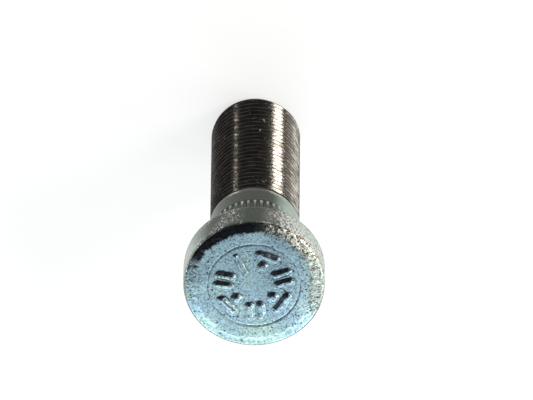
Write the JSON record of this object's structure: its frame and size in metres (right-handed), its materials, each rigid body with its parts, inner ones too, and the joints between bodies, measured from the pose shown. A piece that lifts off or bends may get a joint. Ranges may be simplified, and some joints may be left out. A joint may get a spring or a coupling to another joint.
{
  "type": "wheel stud",
  "caption": "Press-in wheel stud with a broad round head, a serrated neck, a plain collar and a fine thread.",
  "frame": {"origin": "centre of the flat end face of the thread, on which the stud stands", "axes": "+Z along the stud's axis, from the thread's end towards the head"},
  "size_m": [0.0282, 0.0282, 0.0625],
  "materials": {
    "zinc_plated_steel": "blue-tinted zinc plating, dull and pitted on the forged head, bright on the rolled thread"
  },
  "bodies": {
    "root": {"wheel_stud": "zinc_plated_steel"}
  },
  "joints": []
}
